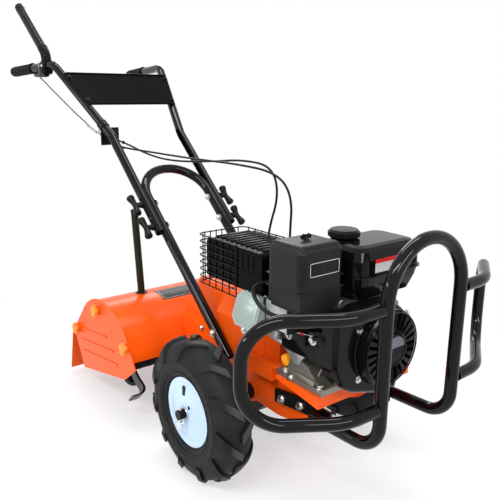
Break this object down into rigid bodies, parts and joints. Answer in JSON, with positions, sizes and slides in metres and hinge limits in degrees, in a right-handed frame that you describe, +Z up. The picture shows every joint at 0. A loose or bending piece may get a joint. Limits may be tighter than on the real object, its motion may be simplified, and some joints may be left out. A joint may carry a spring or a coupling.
{
  "type": "rotary tiller",
  "caption": "Walk-behind rotary tiller with a hooded tine rotor, two lugged wheels, an engine behind a tube bumper with side guards, and two long handles",
  "frame": {"origin": "on the ground, at the middle of the overall length and width", "axes": "+X is forward (engine end), +Y is the machine's left, +Z is up"},
  "size_m": [1.7329, 0.795, 1.2519],
  "materials": {
    "tyre_rubber": "matte",
    "black_rubber": "matte",
    "rim_paint": "semi-gloss",
    "machine_paint": "semi-gloss",
    "black_paint": "semi-gloss",
    "tube_paint": "semi-gloss",
    "case_paint": "matte",
    "tine_steel": "satin",
    "zinc_steel": "satin",
    "cast_aluminium": "satin",
    "black_plastic": "matte",
    "orange_plastic": "matte",
    "gloss_black": "gloss"
  },
  "bodies": {
    "machine": {"wheel_axle": "zinc_steel", "axle_tubes": "black_paint", "lynch_pins": "zinc_steel", "hood_skin": "machine_paint", "hood_end_right": "machine_paint", "hood_end_left": "machine_paint", "hood_knobs": "orange_plastic", "flap_rod": "zinc_steel", "side_plate_right": "machine_paint", "side_plate_left": "machine_paint", "engine_bed": "machine_paint", "hood_neck": "machine_paint", "drive_cover": "machine_paint", "gear_case": "case_paint", "tine_drive_case": "case_paint", "handle_hoop": "tube_paint", "hood_strut": "tube_paint", "handle_tube_right": "tube_paint", "grip_right": "black_rubber", "handle_tube_left": "tube_paint", "grip_left": "black_rubber", "clamp_knobs": "black_plastic", "console_panel": "black_paint", "lever_bracket": "zinc_steel", "clutch_lever": "zinc_steel", "cable_bracket": "zinc_steel", "lever_cable": "black_rubber", "control_cable_a": "black_rubber", "control_cable_b": "black_rubber", "bumper_hoop": "tube_paint", "side_guard_right": "tube_paint", "side_guard_left": "tube_paint", "bumper_plates": "black_paint", "crankcase": "cast_aluminium", "cylinder_head": "cast_aluminium", "valve_cover": "cast_aluminium", "blower_housing": "black_paint", "recoil_starter": "black_paint", "fuel_tank": "gloss_black", "tank_cap": "black_plastic", "air_cleaner": "black_plastic", "muffler": "black_paint", "muffler_cage": "zinc_steel", "dipstick": "orange_plastic", "engine_shroud": "gloss_black", "control_block": "black_plastic", "carburettor": "cast_aluminium"},
    "wheel_right": {"tyre_right": "tyre_rubber", "rim_right": "rim_paint"},
    "wheel_left": {"tyre_left": "tyre_rubber", "rim_left": "rim_paint"},
    "tine_rotor": {"tine_shaft": "machine_paint", "tines_right": "tine_steel", "tines_left": "tine_steel"},
    "rear_flap": {"rear_flap": "machine_paint"}
  },
  "joints": [
    {"name": "wheel_right_spin", "type": "hinge", "parent": "machine", "child": "wheel_right", "pos_m": [0.4, -0.252, 0.184], "axis": [0, 1, 0], "continuous": true},
    {"name": "wheel_left_spin", "type": "hinge", "parent": "machine", "child": "wheel_left", "pos_m": [0.4, 0.252, 0.184], "axis": [0, 1, 0], "continuous": true},
    {"name": "tine_rotor_spin", "type": "hinge", "parent": "machine", "child": "tine_rotor", "pos_m": [-0.07, 0, 0.152], "axis": [0, 1, 0], "continuous": true},
    {"name": "rear_flap_swing", "type": "hinge", "parent": "machine", "child": "rear_flap", "pos_m": [-0.292, 0, 0.182], "axis": [0, 1, 0], "range_deg": [0, 60]}
  ]
}
